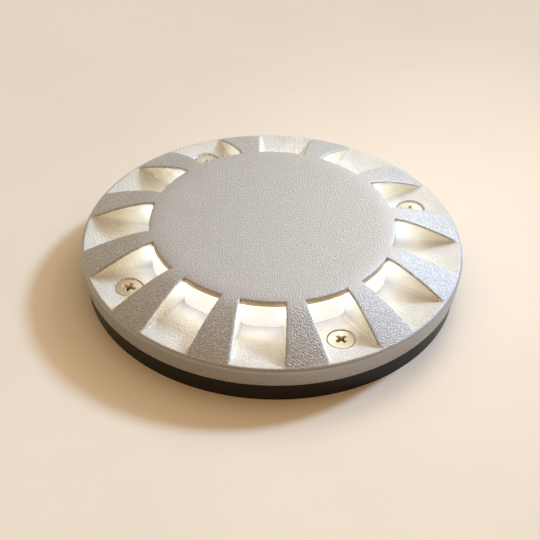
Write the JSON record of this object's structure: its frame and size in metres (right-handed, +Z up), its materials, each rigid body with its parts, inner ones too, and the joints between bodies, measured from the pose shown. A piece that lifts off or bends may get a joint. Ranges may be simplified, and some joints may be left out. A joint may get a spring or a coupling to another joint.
{
  "type": "in ground well light",
  "caption": "Round in-ground well light: cast cover with light windows between sloping ribs, frosted lens, LED tray and driver in a black buried housing with a side cable gland.",
  "frame": {"origin": "on the axis, in the plane of the ground that the housing's flange rests on; the housing hangs below it", "axes": "+Z up along the axis; -Y towards the front window, in the middle between two ribs; the cable gland points along -X"},
  "size_m": [0.14, 0.14, 0.0945],
  "materials": {
    "cast_aluminium": "fine sand-cast texture, satin, unpainted",
    "stainless_screws": "turned stainless steel",
    "brass_inserts": "machined",
    "frosted_lens": "frosted polycarbonate, lit warm white from inside",
    "silicone_seals": "matt silicone",
    "black_housing": "glass-filled moulding, low sheen",
    "extruded_aluminium": "machined, clear anodised",
    "heat_pad": "soft heat-conducting sheet",
    "white_solder_mask": "gloss white mask on an aluminium core",
    "lamp_chips": "white package with a phosphor dome",
    "white_reflector": "bright white moulding",
    "zinc_screws": "zinc plated",
    "brass_standoffs": "nickel-free turned brass",
    "green_circuit_board": "green mask on glass laminate",
    "capacitor_sleeve": "shrunk plastic sleeve, bare aluminium end",
    "ferrite": "sintered ferrite",
    "copper_winding": "enamelled copper wire",
    "black_component": "moulded epoxy",
    "white_connector": "natural nylon",
    "lead_insulation": "soft insulation, one red and one black lead",
    "terminal_plastic": "white polyamide",
    "black_gland": "moulded nylon",
    "gland_rubber": "soft rubber"
  },
  "bodies": {
    "housing": {"housing": "black_housing", "cover_inserts": "brass_inserts", "tray_inserts": "brass_inserts", "housing_seal": "silicone_seals", "supply_plug": "white_connector", "supply_leads": "lead_insulation", "terminal_block": "terminal_plastic", "clamp_screws": "zinc_screws", "block_screws": "zinc_screws", "gland_washer": "gland_rubber", "gland_body": "black_gland", "gland_locknut": "black_gland", "gland_seal": "gland_rubber"},
    "cover": {"cover": "cast_aluminium"},
    "cover_screws": {"cover_screws": "stainless_screws"},
    "lens": {"lens": "frosted_lens", "lens_gasket": "silicone_seals"},
    "light_engine": {"heat_sink": "extruded_aluminium", "tray_screws": "zinc_screws", "thermal_pad": "heat_pad", "led_board": "white_solder_mask", "leds": "lamp_chips", "reflector": "white_reflector", "board_screws": "zinc_screws", "lamp_leads": "lead_insulation", "standoffs": "brass_standoffs", "driver_board": "green_circuit_board", "driver_screws": "zinc_screws", "capacitors": "capacitor_sleeve", "inductor_core": "ferrite", "inductor_winding": "copper_winding", "rectifier": "black_component", "driver_chips": "black_component", "driver_header": "white_connector"},
    "gland_nut": {"gland_nut": "black_gland"}
  },
  "joints": [
    {"name": "cover_lift", "type": "slide", "parent": "housing", "child": "cover", "axis": [0, 0, 1], "range_m": [0, 0.14]},
    {"name": "cover_screws_out", "type": "slide", "parent": "cover", "child": "cover_screws", "axis": [0, 0, 1], "range_m": [0, 0.016]},
    {"name": "lens_lift", "type": "slide", "parent": "housing", "child": "lens", "axis": [0, 0, 1], "range_m": [0, 0.1]},
    {"name": "light_engine_lift", "type": "slide", "parent": "housing", "child": "light_engine", "axis": [0, 0, 1], "range_m": [0, 0.06]},
    {"name": "gland_nut_turn", "type": "hinge", "parent": "housing", "child": "gland_nut", "pos_m": [-0.041, 0, -0.051], "axis": [-1, 0, 0], "range_deg": [0, 1440]}
  ],
  "couplings": [
    {"joint": "lens_lift", "follows": "cover_lift", "ratio": 0.71429},
    {"joint": "light_engine_lift", "follows": "cover_lift", "ratio": 0.42857}
  ]
}
